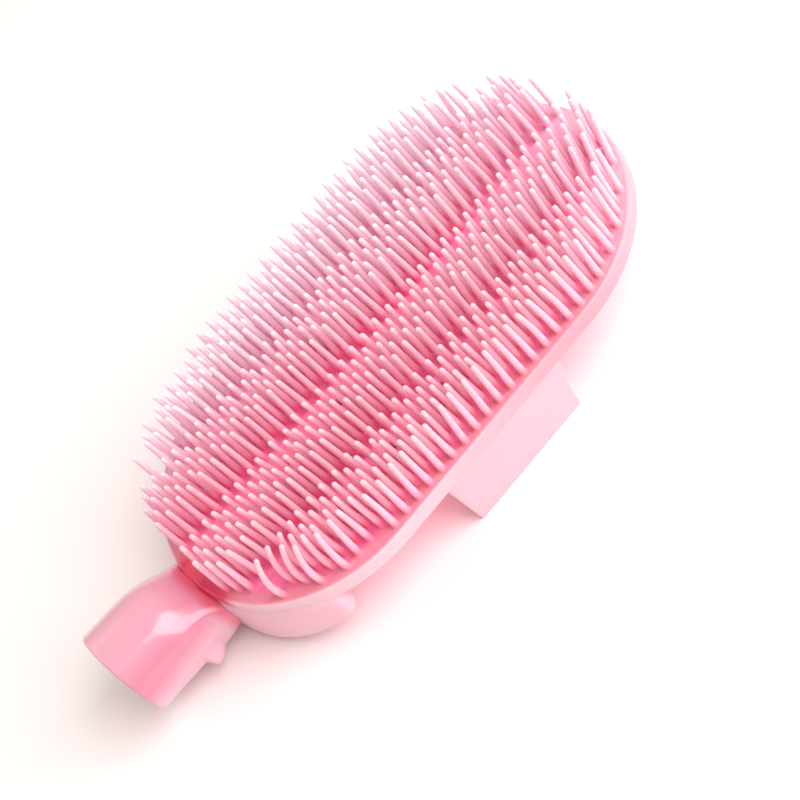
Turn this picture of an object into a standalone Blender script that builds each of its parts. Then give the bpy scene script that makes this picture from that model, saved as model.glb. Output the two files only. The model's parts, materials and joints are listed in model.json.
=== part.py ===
"""Soft silicone pet wash brush: an oval pad of bristles, a finger strap and a slip-on hose socket.

Frame: metres, +Z up. The origin is the centre of the strap's flat underside, straight below the
centre of the pad. +X runs along the pad towards its free round end; the hose socket points to -X.
"""
import math

import bmesh
import bpy
from mathutils import Matrix, Vector
from mathutils.geometry import delaunay_2d_cdt

MM = 0.001
SEAM = 0.3 * MM                  # gap kept between neighbouring pieces of the moulding

# The pad: a rectangle with a half circle at each end.
PAD_RADIUS = 31.5 * MM
PAD_STRAIGHT = 24.1 * MM         # from the pad's centre to the centre of each end circle
PAD_TOP = 15.3 * MM
RIM_BOTTOM = PAD_TOP - 3.1 * MM
RIM_WIDTH = 3.0 * MM
RIM_ROUND = 0.45 * MM
CHAMBER_TOP = PAD_TOP - 1.8 * MM
ARC_STEPS = 20

# The bristles: four bands of five staggered rows.
BRISTLE_PITCH = 3.1 * MM
LATTICE_PHASE = 0.28 * BRISTLE_PITCH   # from the pad's centre to the nearest column of whole rows
ROW_PITCH = 2.33 * MM
ROWS_PER_BAND = 5
OUTER_GROOVE = 6.6 * MM          # from row to row across an outer groove
CENTRE_GROOVE = 9.0 * MM
BRISTLE_TIP_Z = PAD_TOP + 11.2 * MM
BRISTLE_ROOT_RADIUS = 0.75 * MM
BRISTLE_TIP_RADIUS = 0.48 * MM
BRISTLE_SIDES = 3
FIELD_INSET = 1.8 * MM           # from the pad's edge to the nearest bristle's axis
WEB_THICKNESS = 0.5 * MM
WEB_MARGIN = 1.0 * MM            # past the outer rows of a band
WEB_INSET = 1.0 * MM             # from the pad's edge

# Water outlets along the three grooves.
OUTLET_RADIUS = 1.1 * MM
OUTLET_DEPTH = 3.0 * MM
OUTLET_SPACING = 14.0 * MM
OUTLETS_PER_GROOVE = 5

# The cover that closes the water chamber from behind.
COVER_BOTTOM = RIM_BOTTOM - 1.4 * MM
COVER_WALL = 1.4 * MM

# The deeper body under the socket end of the pad.
FUNNEL_END_X = -38.0 * MM
FUNNEL_PROUD = 0.6 * MM          # how far it stands out past the pad's edge
FUNNEL_WALL = 2.0 * MM
FUNNEL_ROUND = 0.8 * MM
FUNNEL_BOTTOM_INNER = 6.6 * MM   # height of its underside at FUNNEL_END_X
FUNNEL_BOTTOM_TIP = 0.4 * MM     # and at the pad's tip
PORT_DEPTH = 3.0 * MM            # through the funnel's end wall, clear of its floor

# The finger strap.
STRAP_THICKNESS = 2.0 * MM
STRAP_OUTER_Y = 31.4 * MM
STRAP_NEAR_X = -13.3 * MM
STRAP_FAR_X = 13.8 * MM
STRAP_NEAR_FLARE = 0.7 * MM
STRAP_FAR_FLARE = 2.4 * MM
STRAP_ROUND = 0.3 * MM

# The neck: a wide soft tube that climbs away from the pad's tip.
NECK_START = Vector((-(PAD_STRAIGHT + PAD_RADIUS), 0.0, 10.0 * MM))
NECK_CLIMB = math.radians(5.0)
NECK_BORE = 5.2 * MM
TUBE_SPAN = (2.0 * MM, 3.8 * MM)
TUBE_RADIUS = 8.5 * MM
COLLAR_SPAN = (4.1 * MM, 5.6 * MM)
COLLAR_RADIUS = 9.2 * MM
THROAT_SPAN = (5.9 * MM, 8.6 * MM)
THROAT_RADII = (9.3 * MM, 9.8 * MM)
SWAY_AT = 2.9 * MM               # the neck's two bending axes, measured along it
BEND_AT = 7.1 * MM

# The socket: an almost level bell behind the neck.
SOCKET_START = NECK_START + Vector((-9.4 * MM, 0.0, 1.6 * MM))
SOCKET_CLIMB = math.radians(2.0)
SOCKET_LENGTH = 11.0 * MM
SOCKET_RADIUS = 9.9 * MM
SOCKET_BORE = 7.9 * MM
SHOULDER_LENGTH = 3.0 * MM
TURNED_STEPS = 32

# The lug on the throat, low on the -Y side.
LUG_AT = 7.4 * MM
LUG_SIZE = (2.4 * MM, 5.0 * MM, 4.4 * MM)
LUG_REACH = 11.4 * MM
LUG_ANGLE = math.radians(45.0)   # below level

PALE_PINK = (0.93, 0.50, 0.62, 1.0)
LIGHT_PINK = (0.97, 0.62, 0.71, 1.0)
DEEP_PINK = (0.90, 0.40, 0.56, 1.0)


def clear_scene():
    for old in list(bpy.data.objects):
        bpy.data.objects.remove(old, do_unlink=True)


def silicone(name, colour, roughness):
    material = bpy.data.materials.new(name)
    material.use_nodes = True
    shader = material.node_tree.nodes["Principled BSDF"]
    shader.inputs["Base Color"].default_value = colour
    shader.inputs["Roughness"].default_value = roughness
    shader.inputs["Metallic"].default_value = 0.0
    return material


def add_object(name, bm, material=None):
    """Turn a bmesh into an object whose faces point outwards."""
    bmesh.ops.recalc_face_normals(bm, faces=bm.faces)
    mesh = bpy.data.meshes.new(name)
    bm.to_mesh(mesh)
    bm.free()
    obj = bpy.data.objects.new(name, mesh)
    bpy.context.scene.collection.objects.link(obj)
    if material:
        mesh.materials.append(material)
    return obj


def prism(outline, bottom, top):
    """A closed bmesh over an outline in X and Y; bottom and top are heights or functions of x."""
    bm = bmesh.new()
    low = bottom if callable(bottom) else lambda x: bottom
    high = top if callable(top) else lambda x: top
    lower = [bm.verts.new((x, y, low(x))) for x, y in outline]
    upper = [bm.verts.new((x, y, high(x))) for x, y in outline]
    bm.faces.new(lower)
    bm.faces.new(upper)
    for i in range(len(outline)):
        j = (i + 1) % len(outline)
        bm.faces.new((lower[i], lower[j], upper[j], upper[i]))
    return bm


def direction(climb):
    """The direction away from the pad at a given climb."""
    return Vector((-math.cos(climb), 0.0, math.sin(climb)))


def turned(profile, start, climb):
    """A closed bmesh turned from a ring-shaped profile about an axis that leaves the pad.

    Each profile point is a distance along the axis and a radius."""
    bm = bmesh.new()
    axis = direction(climb)
    side = Vector((0.0, 1.0, 0.0))
    up = axis.cross(side)
    rings = []
    for along, radius in profile:
        ring = []
        for i in range(TURNED_STEPS):
            angle = 2.0 * math.pi * i / TURNED_STEPS
            offset = side * (radius * math.cos(angle)) + up * (radius * math.sin(angle))
            ring.append(bm.verts.new(start + axis * along + offset))
        rings.append(ring)
    for here, there in zip(rings, rings[1:] + rings[:1]):
        for i in range(TURNED_STEPS):
            j = (i + 1) % TURNED_STEPS
            bm.faces.new((here[i], here[j], there[j], there[i]))
    return bm


def boolean(obj, other, operation):
    modifier = obj.modifiers.new(operation.lower(), "BOOLEAN")
    modifier.operation = operation
    modifier.solver = "EXACT"
    modifier.object = other
    other.hide_render = True
    other.display_type = "WIRE"


def round_edges(obj, width, segments=2):
    modifier = obj.modifiers.new("round", "BEVEL")
    modifier.width = width
    modifier.segments = segments
    modifier.limit_method = "ANGLE"
    modifier.angle_limit = math.radians(40.0)


def shade_smooth(obj):
    obj.data.shade_smooth()
    obj.data.set_sharp_from_angle(angle=math.radians(35.0))


def edge_x(y, inset):
    """How far the pad's outline reaches in X at a given y, for an outline moved inwards."""
    radius = PAD_RADIUS - inset
    return PAD_STRAIGHT + math.sqrt(max(radius * radius - y * y, 0.0))


def stadium(inset):
    """The pad's outline moved inwards, as a loop of points."""
    radius = PAD_RADIUS - inset
    points = []
    for centre, start in ((PAD_STRAIGHT, -0.5 * math.pi), (-PAD_STRAIGHT, 0.5 * math.pi)):
        for i in range(ARC_STEPS + 1):
            angle = start + math.pi * i / ARC_STEPS
            points.append((centre + radius * math.cos(angle), radius * math.sin(angle)))
    return points


def row_heights():
    """The y of each bristle row, in four lists, one for each band."""
    band_width = (ROWS_PER_BAND - 1) * ROW_PITCH
    starts = [0.5 * CENTRE_GROOVE]
    starts.append(starts[0] + band_width + OUTER_GROOVE)
    half = [[start + i * ROW_PITCH for i in range(ROWS_PER_BAND)] for start in starts]
    mirrored = [[-y for y in reversed(band)] for band in reversed(half)]
    return mirrored + half


def bristle_feet(band):
    """Where the bristles of one band stand; every second row is shifted by half a pitch."""
    feet = []
    for i, y in enumerate(band):
        shift = LATTICE_PHASE + 0.5 * (i % 2) * BRISTLE_PITCH
        reach = edge_x(y, FIELD_INSET) if abs(y) < PAD_RADIUS - FIELD_INSET else PAD_STRAIGHT
        first = math.ceil((-reach - shift) / BRISTLE_PITCH)
        last = math.floor((reach - shift) / BRISTLE_PITCH)
        feet += [(shift + k * BRISTLE_PITCH, y) for k in range(first, last + 1)]
    return feet


def band_outline(band, grow):
    """The strip of the pad under one band, as a loop of points."""
    inset = WEB_INSET - grow
    limit = PAD_RADIUS - inset
    low = max(band[0] - WEB_MARGIN - grow, -limit)
    high = min(band[-1] + WEB_MARGIN + grow, limit)
    steps = 8
    levels = [low + (high - low) * i / steps for i in range(steps + 1)]
    right = [(edge_x(y, inset), y) for y in levels]
    left = [(-x, y) for x, y in reversed(right)]
    return right + left


def bristle_band(name, band, material):
    """A thin web with its bristles, as one closed body."""
    outline = band_outline(band, 0.0)
    feet = bristle_feet(band)
    points = [Vector(p) for p in outline]
    loops = [list(range(len(outline)))]
    for x, y in feet:
        start = len(points)
        for i in range(BRISTLE_SIDES):
            angle = 2.0 * math.pi * i / BRISTLE_SIDES
            foot = (x + BRISTLE_ROOT_RADIUS * math.cos(angle), y + BRISTLE_ROOT_RADIUS * math.sin(angle))
            points.append(Vector(foot))
        loops.append(list(range(start, start + BRISTLE_SIDES)))
    surface = delaunay_2d_cdt(points, [], loops, 2, 1e-7)
    flat_points, flat_faces, face_sources = surface[0], surface[2], surface[5]
    bm = bmesh.new()
    top = [bm.verts.new((p.x, p.y, PAD_TOP)) for p in flat_points]
    for face, source in zip(flat_faces, face_sources):
        if source == [0]:
            bm.faces.new([top[i] for i in face])
    bottom = [bm.verts.new((x, y, PAD_TOP - WEB_THICKNESS)) for x, y in outline]
    bm.faces.new(bottom)
    for i in range(len(outline)):
        j = (i + 1) % len(outline)
        bm.faces.new((bottom[i], bottom[j], top[j], top[i]))
    shrink = BRISTLE_TIP_RADIUS / BRISTLE_ROOT_RADIUS
    for (x, y), loop in zip(feet, loops[1:]):
        tip = []
        for i in loop:
            foot = top[i].co
            tip.append(bm.verts.new((x + (foot.x - x) * shrink, y + (foot.y - y) * shrink, BRISTLE_TIP_Z)))
        bm.faces.new(tip)
        for i in range(BRISTLE_SIDES):
            j = (i + 1) % BRISTLE_SIDES
            bm.faces.new((top[loop[i]], top[loop[j]], tip[j], tip[i]))
    return add_object(name, bm, material)


def outlet_cutter():
    """Upright six-sided rods along the three grooves, joined as one cutter."""
    bands = row_heights()
    grooves = [0.5 * (low[-1] + high[0]) for low, high in zip(bands, bands[1:])]
    bm = bmesh.new()
    middle = 0.5 * (OUTLETS_PER_GROOVE - 1)
    for y in grooves:
        for i in range(OUTLETS_PER_GROOVE):
            place = Matrix.Translation(((i - middle) * OUTLET_SPACING, y, PAD_TOP))
            bmesh.ops.create_cone(bm, cap_ends=True, segments=6, radius1=OUTLET_RADIUS,
                                  radius2=OUTLET_RADIUS, depth=2.0 * OUTLET_DEPTH, matrix=place)
    return add_object("outlet_cutter", bm)


def face_plate(material):
    """The plate that carries the bristles, with a turned-down rim around the water chamber."""
    plate = add_object("face_plate", prism(stadium(0.0), RIM_BOTTOM, PAD_TOP), material)
    round_edges(plate, RIM_ROUND)
    chamber = prism(stadium(RIM_WIDTH), RIM_BOTTOM - MM, CHAMBER_TOP)
    boolean(plate, add_object("chamber_cutter", chamber), "DIFFERENCE")
    floor = PAD_TOP - WEB_THICKNESS - SEAM
    for i, band in enumerate(row_heights()):
        recess = prism(band_outline(band, SEAM), floor, PAD_TOP + MM)
        boolean(plate, add_object(f"recess_cutter_{i + 1}", recess), "DIFFERENCE")
    boolean(plate, outlet_cutter(), "DIFFERENCE")
    shade_smooth(plate)
    return plate


def cut_off_tip(outline, x_limit):
    """Keep the part of the outline beyond x_limit, squared off there."""
    kept = [(x, y) for x, y in outline if x > x_limit]
    inset = PAD_RADIUS - max(y for x, y in outline)
    y = math.sqrt((PAD_RADIUS - inset) ** 2 - (x_limit + PAD_STRAIGHT) ** 2)
    return kept + [(x_limit, y), (x_limit, -y)]


def in_order(points):
    """Sort the points of a convex loop by their direction from its middle."""
    cx = sum(x for x, y in points) / len(points)
    cy = sum(y for x, y in points) / len(points)
    return sorted(points, key=lambda p: math.atan2(p[1] - cy, p[0] - cx))


def back_cover(material):
    """A shallow tray that closes the water chamber from behind."""
    near = FUNNEL_END_X + SEAM
    outer = in_order(cut_off_tip(stadium(RIM_WIDTH + SEAM), near))
    inner = in_order(cut_off_tip(stadium(RIM_WIDTH + SEAM + COVER_WALL), near + COVER_WALL))
    tray = add_object("back_cover", prism(outer, COVER_BOTTOM, CHAMBER_TOP - SEAM), material)
    round_edges(tray, RIM_ROUND)
    hollow = prism(inner, COVER_BOTTOM + COVER_WALL, CHAMBER_TOP + MM)
    boolean(tray, add_object("cover_cutter", hollow), "DIFFERENCE")
    shade_smooth(tray)
    return tray


def funnel_outline(inset):
    """The D-shaped outline under the pad's socket end."""
    radius = PAD_RADIUS + FUNNEL_PROUD - inset
    end = FUNNEL_END_X - inset
    reach = math.acos((-PAD_STRAIGHT - end) / radius)
    steps = ARC_STEPS
    angles = [math.pi - reach + 2.0 * reach * i / steps for i in range(steps + 1)]
    return [(-PAD_STRAIGHT + radius * math.cos(a), radius * math.sin(a)) for a in angles]


def funnel_bottom(x):
    """The underside of the funnel slopes down towards the socket."""
    share = (FUNNEL_END_X - x) / (FUNNEL_END_X - NECK_START.x)
    return FUNNEL_BOTTOM_INNER + (FUNNEL_BOTTOM_TIP - FUNNEL_BOTTOM_INNER) * share


def inlet_funnel(material):
    """The hollow body that spreads the water from the neck into the chamber."""
    top = RIM_BOTTOM - SEAM
    body = add_object("inlet_funnel", prism(funnel_outline(0.0), funnel_bottom, top), material)
    round_edges(body, FUNNEL_ROUND)
    inside = prism(funnel_outline(FUNNEL_WALL), lambda x: funnel_bottom(x) + FUNNEL_WALL, top + MM)
    boolean(body, add_object("funnel_cutter", inside), "DIFFERENCE")
    port = bmesh.new()
    along_neck = direction(NECK_CLIMB).to_track_quat("Z", "Y").to_matrix().to_4x4()
    place = Matrix.Translation(NECK_START) @ along_neck
    bmesh.ops.create_cone(port, cap_ends=True, segments=20, radius1=NECK_BORE, radius2=NECK_BORE,
                          depth=2.0 * PORT_DEPTH, matrix=place)
    boolean(body, add_object("port_cutter", port), "DIFFERENCE")
    shade_smooth(body)
    return body


def strap_outline():
    """One side of the strap, seen along Y: wider where it grows out of the rim."""
    top = RIM_BOTTOM - SEAM
    low = STRAP_THICKNESS + SEAM
    steps = 5
    near = []
    far = []
    for i in range(steps + 1):
        share = i / steps
        z = low + (top - low) * share
        near.append((STRAP_NEAR_X - STRAP_NEAR_FLARE * share, z))
        far.append((STRAP_FAR_X + STRAP_FAR_FLARE * share ** 2, z))
    return near + list(reversed(far))


def strap_side(name, side, material):
    """A wall of the strap, from the pad's rim down to the span."""
    bm = bmesh.new()
    outer = [bm.verts.new((x, side * STRAP_OUTER_Y, z)) for x, z in strap_outline()]
    inner_y = side * (STRAP_OUTER_Y - STRAP_THICKNESS)
    inner = [bm.verts.new((x, inner_y, z)) for x, z in strap_outline()]
    bm.faces.new(outer)
    bm.faces.new(inner)
    for i in range(len(outer)):
        j = (i + 1) % len(outer)
        bm.faces.new((outer[i], outer[j], inner[j], inner[i]))
    return add_object(name, bm, material)


def strap_span(material):
    """The flat part of the strap that lies across the fingers, and that the brush rests on."""
    y = STRAP_OUTER_Y
    outline = [(STRAP_NEAR_X, -y), (STRAP_FAR_X, -y), (STRAP_FAR_X, y), (STRAP_NEAR_X, y)]
    span = add_object("strap_span", prism(outline, 0.0, STRAP_THICKNESS), material)
    round_edges(span, STRAP_ROUND)
    shade_smooth(span)
    return span


def tube_profile(span, outer, inner):
    """A straight or tapered tube; outer and inner are the radii at its two ends."""
    start, end = span
    return [(start, outer[0]), (end, outer[1]), (end, inner[1]), (start, inner[0])]


def neck_pieces(materials):
    """The bending tube, the collar and the throat, from the pad outwards."""
    bore = (NECK_BORE, NECK_BORE)
    shapes = (
        ("neck_tube", TUBE_SPAN, (TUBE_RADIUS, TUBE_RADIUS)),
        ("neck_collar", COLLAR_SPAN, (COLLAR_RADIUS, COLLAR_RADIUS)),
        ("socket_throat", THROAT_SPAN, THROAT_RADII),
    )
    made = {}
    for name, span, radii in shapes:
        tube = turned(tube_profile(span, radii, bore), NECK_START, NECK_CLIMB)
        made[name] = add_object(name, tube, materials[name])
    boolean(made["socket_throat"], add_object("lug_shape", lug_block()), "UNION")
    for piece in made.values():
        shade_smooth(piece)
    return made


def lug_block():
    """A small block that stands out from the throat, low on the -Y side."""
    axis = direction(NECK_CLIMB)
    up = Vector((math.sin(NECK_CLIMB), 0.0, math.cos(NECK_CLIMB)))
    outwards = Vector((0.0, -math.cos(LUG_ANGLE), 0.0)) - up * math.sin(LUG_ANGLE)
    turn = Matrix((axis, axis.cross(outwards), outwards)).transposed().to_4x4()
    centre = NECK_START + axis * LUG_AT + outwards * (LUG_REACH - 0.5 * LUG_SIZE[2])
    bm = bmesh.new()
    size = Matrix.Diagonal((*LUG_SIZE, 1.0))
    bmesh.ops.create_cube(bm, size=1.0, matrix=Matrix.Translation(centre) @ turn @ size)
    return bm


def socket_profile():
    """The bell: a rounded shoulder, then a plain cylinder with a flat mouth."""
    neck_radius = THROAT_RADII[1]
    outside = []
    for i in range(5):
        share = i / 4.0
        radius = neck_radius + (SOCKET_RADIUS - neck_radius) * math.sin(0.5 * math.pi * share)
        outside.append((SHOULDER_LENGTH * share, radius))
    outside.append((SOCKET_LENGTH, SOCKET_RADIUS))
    inside = [(SOCKET_LENGTH, SOCKET_BORE), (SHOULDER_LENGTH, SOCKET_BORE), (0.0, NECK_BORE)]
    return outside + inside


def hose_socket(material):
    """The soft bell that slips over a tap or a hose end."""
    bell = add_object("hose_socket", turned(socket_profile(), SOCKET_START, SOCKET_CLIMB), material)
    shade_smooth(bell)
    return bell


def joint_empty(name, along):
    empty = bpy.data.objects.new(name, None)
    empty.location = NECK_START + direction(NECK_CLIMB) * along
    bpy.context.scene.collection.objects.link(empty)
    return empty


def hang_from(child, parent):
    """Parent a piece to a joint's empty without moving it."""
    child.parent = parent
    child.matrix_parent_inverse = Matrix.Translation(parent.matrix_world.translation).inverted()


def main():
    clear_scene()
    pad = silicone("pad_silicone", PALE_PINK, 0.42)
    bristle = silicone("bristle_silicone", LIGHT_PINK, 0.5)
    body = silicone("body_silicone", DEEP_PINK, 0.38)
    face_plate(pad)
    for i, band in enumerate(row_heights()):
        bristle_band(f"bristle_band_{i + 1}", band, bristle.copy())
    back_cover(body)
    inlet_funnel(silicone("funnel_silicone", DEEP_PINK, 0.4))
    strap_side("strap_wall_front", -1.0, silicone("strap_front_silicone", PALE_PINK, 0.45))
    strap_side("strap_wall_rear", 1.0, silicone("strap_rear_silicone", PALE_PINK, 0.45))
    strap_span(silicone("span_silicone", PALE_PINK, 0.45))
    names = ("neck_tube", "neck_collar", "socket_throat")
    neck = neck_pieces({name: silicone(name + "_silicone", DEEP_PINK, 0.32) for name in names})
    socket = hose_socket(silicone("socket_silicone", PALE_PINK, 0.3))
    sway = joint_empty("neck_sway_axis", SWAY_AT)
    bend = joint_empty("neck_bend_axis", BEND_AT)
    bpy.context.view_layer.update()
    hang_from(neck["neck_collar"], sway)
    hang_from(neck["socket_throat"], bend)
    hang_from(socket, bend)


main()
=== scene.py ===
"""Looks for the silicone pet wash brush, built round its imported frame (metres, +Z up).

The brush lies on its strap, bristles up. +X runs to the free round end of the pad and the hose
socket points to -X. The camera looks from the -Y side.
"""

import json
import math
import random

import bmesh
import bpy
from mathutils import Matrix, Vector
from mathutils.geometry import delaunay_2d_cdt


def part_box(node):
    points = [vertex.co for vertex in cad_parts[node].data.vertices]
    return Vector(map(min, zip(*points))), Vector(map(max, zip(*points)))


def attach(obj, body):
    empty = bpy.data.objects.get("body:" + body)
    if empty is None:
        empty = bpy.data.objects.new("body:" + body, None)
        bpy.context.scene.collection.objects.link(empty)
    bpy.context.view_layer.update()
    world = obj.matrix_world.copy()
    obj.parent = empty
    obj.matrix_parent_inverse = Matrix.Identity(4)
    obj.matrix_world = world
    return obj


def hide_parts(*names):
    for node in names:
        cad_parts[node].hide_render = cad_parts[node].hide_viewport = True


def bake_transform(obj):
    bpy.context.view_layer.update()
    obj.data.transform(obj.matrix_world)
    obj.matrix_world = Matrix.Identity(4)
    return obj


MM = 0.001
TOUCH = 0.004 * MM               # gap between pieces that touch

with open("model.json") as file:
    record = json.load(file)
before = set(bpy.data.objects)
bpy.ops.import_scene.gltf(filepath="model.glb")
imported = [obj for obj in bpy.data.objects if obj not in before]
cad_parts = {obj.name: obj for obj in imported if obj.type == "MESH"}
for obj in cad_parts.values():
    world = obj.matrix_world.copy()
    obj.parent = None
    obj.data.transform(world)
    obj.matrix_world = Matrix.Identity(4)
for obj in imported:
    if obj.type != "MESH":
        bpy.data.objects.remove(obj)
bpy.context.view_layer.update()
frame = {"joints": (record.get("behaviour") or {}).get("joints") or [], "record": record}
joints = {joint["name"]: joint for joint in frame["joints"]}
mounts = {mount["name"]: mount for mount in frame["record"]["mounts"]}

# The pad, from its CAD node.
face_low, face_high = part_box("face_plate")
PAD_RADIUS = face_high.y
PAD_STRAIGHT = face_high.x - PAD_RADIUS
PAD_TOP = face_high.z
RIM_BOTTOM = face_low.z
RIM_WIDTH = 3.0 * MM
RIM_ROUND = 0.66 * MM
CHAMBER_TOP = PAD_TOP - 1.8 * MM
ARC_STEPS = 56
STRAIGHT_STEPS = 16

# The bristles: four bands of five staggered rows, as in the CAD model.
BRISTLE_PITCH = 3.1 * MM
LATTICE_PHASE = 0.28 * BRISTLE_PITCH
ROW_PITCH = 2.33 * MM
ROWS_PER_BAND = 5
OUTER_GROOVE = 6.6 * MM
CENTRE_GROOVE = 9.0 * MM
NEAR_INSET = 1.7 * MM            # grid places nearer the pad's outline than this stay empty
FAR_INSET = 0.5 * MM             # the same at the round end
FOOT_INSET = 1.72 * MM           # bristles nearer than this move in, to stand on the web
TIP_DROP = 0.05 * MM             # keeps leaning tips under the CAD top
BRISTLE_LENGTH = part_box("bristle_band_1")[1].z - PAD_TOP - TIP_DROP
ROOT_RADIUS = 0.72 * MM
TIP_RADIUS = 0.49 * MM
BRISTLE_SIDES = 10
BRISTLE_SHARES = (0.0, 0.02, 0.05, 0.14, 0.26, 0.4, 0.55, 0.7, 0.84)  # rings up a bristle
ROOT_FLARE = {0.0: 1.3, 0.02: 1.12, 0.05: 1.03}     # how much wider the lowest rings are
TIP_TURNS = (35.0, 65.0)                            # rings round the tip, in degrees
LENGTH_SPREAD = 0.012
LEAN_SPREAD = (0.24 * MM, 0.22 * MM)
BOW_SPREAD = (0.09 * MM, 0.08 * MM)
WILD_SPREAD = (0.5 * MM, 0.4 * MM)
WILD_SHARE = 0.05                # the share of bristles that lean much more than the others
BRISTLE_SEED = 11

# The web: the thin sheet that carries the bristles of one band, sunk into the face.
WEB_MARGIN = 1.72 * MM           # beyond a band's outer rows
WEB_INSET = RIM_ROUND + 0.04 * MM
WEB_SIDE_INSET = 0.76 * MM
WEB_THICKNESS = 0.5 * MM
WEB_STEPS = 24

OUTLET_RADIUS = 1.1 * MM
OUTLET_SPACING = 14.0 * MM
OUTLETS_PER_GROOVE = 5
OUTLET_SIDES = 20
OUTLET_LEVELS = [                # how much wider than its radius an outlet is at each height
    (1.15, PAD_TOP),
    (1.03, PAD_TOP - 0.07 * MM),
    (1.0, PAD_TOP - 0.2 * MM),
    (1.0, CHAMBER_TOP),
]

# The shallow tray behind the pad.
cover_low, cover_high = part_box("back_cover")
COVER_INSET = RIM_WIDTH + 0.3 * MM
COVER_GAP = 0.3 * MM             # between the tray and the body under the socket end
COVER_WALL = 1.4 * MM
COVER_EDGE = 0.9 * MM
COVER_CORNER = 2.0 * MM

# The body under the socket end of the pad.
funnel_low, funnel_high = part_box("inlet_funnel")
FUNNEL_RADIUS = -PAD_STRAIGHT - funnel_low.x
FUNNEL_END_X = funnel_high.x
FUNNEL_CORNER = 2.2 * MM
FUNNEL_BOTTOM_INNER = 6.6 * MM
FUNNEL_BOTTOM_TIP = funnel_low.z
FUNNEL_WALL = 2.0 * MM
PORT_LENGTH = 10.0 * MM
FUNNEL_LOW_EDGE = 1.0 * MM

# The body's soft upper edge, which joins it to the rim; heights are from the rim's foot.
COVE_DEPTH = FUNNEL_RADIUS - PAD_RADIUS - 0.08 * MM
COVE_EDGE = 0.08 * MM + TOUCH
COVE_START = -0.9 * MM
COVE_LOW = -0.15 * MM            # where it ends beside the pad
COVE_HIGH = 0.7 * MM             # and at the tip
COVE_FADE = (-44.5 * MM, -40.5 * MM)
COVE_STEPS = 7

# The neck's axis runs through the two joints; the bell ends just past its mount.
NECK_BORE = 5.2 * MM
SWAY_DEPTH = 2.9 * MM            # from the neck's start to the first joint
neck_front = Vector(joints["neck_sway"]["pos_m"])
neck_back = Vector(joints["neck_bend"]["pos_m"])
NECK_AXIS = (neck_back - neck_front).normalized()
NECK_START = neck_front - NECK_AXIS * SWAY_DEPTH
socket_low, socket_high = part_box("hose_socket")
SOCKET_RADIUS = socket_high.y
SOCKET_BORE = 7.9 * MM
MOUTH_X = mounts["socket_mouth"]["pos_m"][0] - 0.2 * MM

# The strap.
span_low, span_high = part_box("strap_span")
wall_low, wall_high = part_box("strap_wall_front")
STRAP_THICKNESS = span_high.z - span_low.z
STRAP_CORNER = 0.9 * MM
STRAP_FILLET = 1.0 * MM
STRAP_ROUND = 0.45 * MM
STRAP_WALL_STEPS = 12
STRAP_FLOOR_STEPS = 12


# ---------------------------------------------------------------- meshes

def add_piece(name, shell, material, sharp=40.0):
    """A smooth-shaded object made from a shell, with its faces pointing outwards."""
    mesh = bpy.data.meshes.new(name)
    mesh.from_pydata([tuple(v) for v in shell.vertices], [], shell.faces)
    bm = bmesh.new()
    bm.from_mesh(mesh)
    bmesh.ops.recalc_face_normals(bm, faces=bm.faces)
    bm.to_mesh(mesh)
    bm.free()
    mesh.shade_smooth()
    mesh.set_sharp_from_angle(angle=math.radians(sharp))
    mesh.materials.append(material)
    obj = bpy.data.objects.new(name, mesh)
    bpy.context.scene.collection.objects.link(obj)
    return obj


def bridge(faces, here, there):
    """Quads between two closed rings of vertex numbers."""
    for i in range(len(here)):
        j = (i + 1) % len(here)
        faces.append((here[i], here[j], there[j], there[i]))


class Shell:
    """Vertices and faces of a piece that is built ring by ring."""

    def __init__(self):
        self.vertices = []
        self.faces = []

    def ring(self, points):
        """Add points and return their vertex numbers."""
        start = len(self.vertices)
        self.vertices += [Vector(p) for p in points]
        return list(range(start, len(self.vertices)))

    def sweep(self, rings, closed=False):
        """Join rings of points one after another; closed also joins the last to the first."""
        numbers = [self.ring(points) for points in rings]
        for here, there in zip(numbers, numbers[1:]):
            bridge(self.faces, here, there)
        if closed:
            bridge(self.faces, numbers[-1], numbers[0])
        return numbers

    def cap(self, outline, holes, z):
        """Fill a flat outline at height z, leaving holes; both are rings of vertex numbers.

        The triangulation says which loops each face lies in; a face in a hole lies in two."""
        loops = [outline] + holes
        points = []
        numbers = []
        local = []
        for loop in loops:
            local.append(list(range(len(points), len(points) + len(loop))))
            points += [Vector((self.vertices[n].x, self.vertices[n].y)) for n in loop]
            numbers += loop
        surface = delaunay_2d_cdt(points, [], local, 2, 1e-7)
        flat_points, flat_faces, sources, face_sources = surface[0], surface[2], surface[3], surface[5]
        known = {}
        for new, old in enumerate(sources):
            if old:
                known[new] = numbers[old[0]]
            else:
                known[new] = self.ring([(flat_points[new].x, flat_points[new].y, z)])[0]
        for face, source in zip(flat_faces, face_sources):
            if source == [0]:
                self.faces.append(tuple(known[n] for n in face))


def span_steps(start, end, count):
    """Evenly spaced values from start to end, both included."""
    return [start + (end - start) * i / count for i in range(count + 1)]


def smooth_step(value, start, end):
    """0 before start, 1 after end and a smooth rise between them."""
    share = min(max((value - start) / (end - start), 0.0), 1.0)
    return share * share * (3.0 - 2.0 * share)


def smooth_curve(value, stops):
    """A smooth curve through stops of (place, level)."""
    if value <= stops[0][0]:
        return stops[0][1]
    for (start, low), (end, high) in zip(stops, stops[1:]):
        if value <= end:
            return low + (high - low) * smooth_step(value, start, end)
    return stops[-1][1]


def circle(centre, radius, z, steps):
    """Points of a level circle."""
    x, y = centre
    turns = [2.0 * math.pi * i / steps for i in range(steps)]
    return [(x + radius * math.cos(t), y + radius * math.sin(t), z) for t in turns]


def arc(centre, radius, start, end, steps):
    """Points of an arc with the outward direction at each."""
    points = []
    for i in range(steps + 1):
        angle = start + (end - start) * i / steps
        direction = (math.cos(angle), math.sin(angle))
        points.append((centre[0] + radius * direction[0], centre[1] + radius * direction[1], *direction))
    return points


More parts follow.
